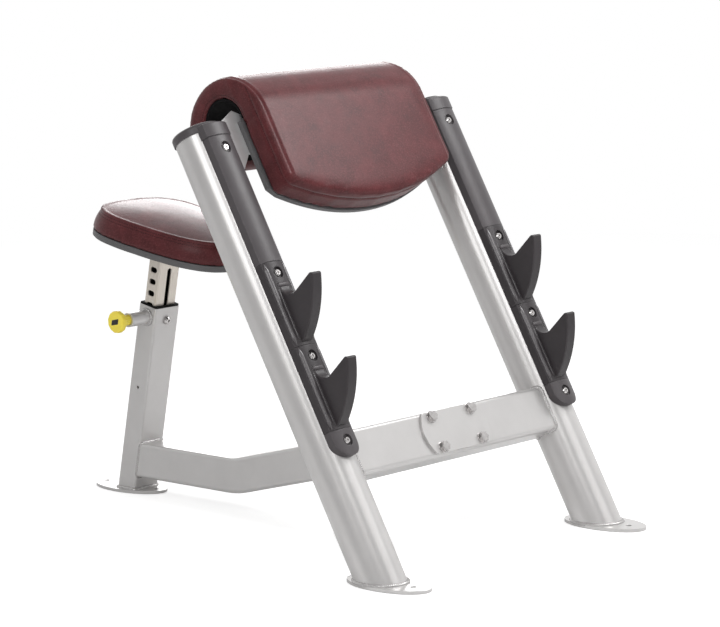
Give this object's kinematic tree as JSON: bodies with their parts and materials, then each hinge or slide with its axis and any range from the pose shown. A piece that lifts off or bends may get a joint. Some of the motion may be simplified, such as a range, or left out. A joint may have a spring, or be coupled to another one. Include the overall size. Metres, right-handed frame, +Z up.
{
  "type": "preacher bench",
  "caption": "Free-standing arm-curl bench: a sloping rolled arm pad between leaning tube uprights with bar catches, and a height-adjustable seat on a rear post.",
  "frame": {"origin": "on the floor, midway between the front feet and the rear foot, in the plane midway between the uprights", "axes": "+X to the right as seen from the front, where the bar catches are; +Y from the front feet to the rear foot, +Z up"},
  "size_m": [0.8162, 1.3222, 0.9965],
  "materials": {
    "frame_silver": "satin silver powder coat with a fine grain",
    "bracket_grey": "satin grey",
    "guard_charcoal": "satin moulded plastic",
    "catch_black": "satin moulded plastic",
    "shell_grey": "satin moulded plastic",
    "liner_black": "satin moulded plastic",
    "slide_steel": "brushed along its length",
    "bright_chrome": "bright",
    "knob_yellow": "moulded",
    "vinyl_maroon": "coated fabric with a fine grain"
  },
  "bodies": {
    "frame": {"left_front_foot": "frame_silver", "left_upright_tube": "frame_silver", "left_guard": "guard_charcoal", "left_lower_catch": "catch_black", "left_upper_catch": "catch_black", "left_guard_end": "guard_charcoal", "left_top_cap": "guard_charcoal", "left_pad_bracket": "bracket_grey", "right_front_foot": "frame_silver", "right_upright_tube": "frame_silver", "right_guard": "guard_charcoal", "right_lower_catch": "catch_black", "right_upper_catch": "catch_black", "right_guard_end": "guard_charcoal", "right_top_cap": "guard_charcoal", "right_pad_bracket": "bracket_grey", "rear_foot": "frame_silver", "crossbeam": "frame_silver", "crossbeam_bolt_plate": "frame_silver", "spine_end_plate": "frame_silver", "crossbeam_bolts": "bright_chrome", "crossbeam_washers": "bright_chrome", "crossbeam_nuts": "bright_chrome", "guard_screws": "bright_chrome", "rear_spine_tube": "frame_silver", "seat_post_outer": "frame_silver", "seat_post_liner": "liner_black", "travel_stop_bolt": "bright_chrome", "pull_pin_barrel": "frame_silver", "curl_pad": "vinyl_maroon", "pad_shell": "shell_grey", "roll_liner": "liner_black", "pad_bolts": "bright_chrome", "pull_pin_spring": "bright_chrome"},
    "seat": {"seat_post_inner": "slide_steel", "seat_mount_plate": "frame_silver", "seat_base": "shell_grey", "seat_bolts": "bright_chrome", "seat_cushion": "vinyl_maroon"},
    "pull_pin": {"pull_pin_plunger": "bright_chrome", "pull_pin_knob": "knob_yellow"}
  },
  "joints": [
    {"name": "seat_height", "type": "slide", "parent": "frame", "child": "seat", "axis": [0, -0.203, 0.9792], "range_m": [-0.1112, 0.1112]},
    {"name": "pull_pin_slide", "type": "slide", "parent": "frame", "child": "pull_pin", "axis": [-1, 0, 0], "range_m": [-0.007, 0.004], "stiffness_N_per_m": 400, "springref_m": -0.02}
  ]
}
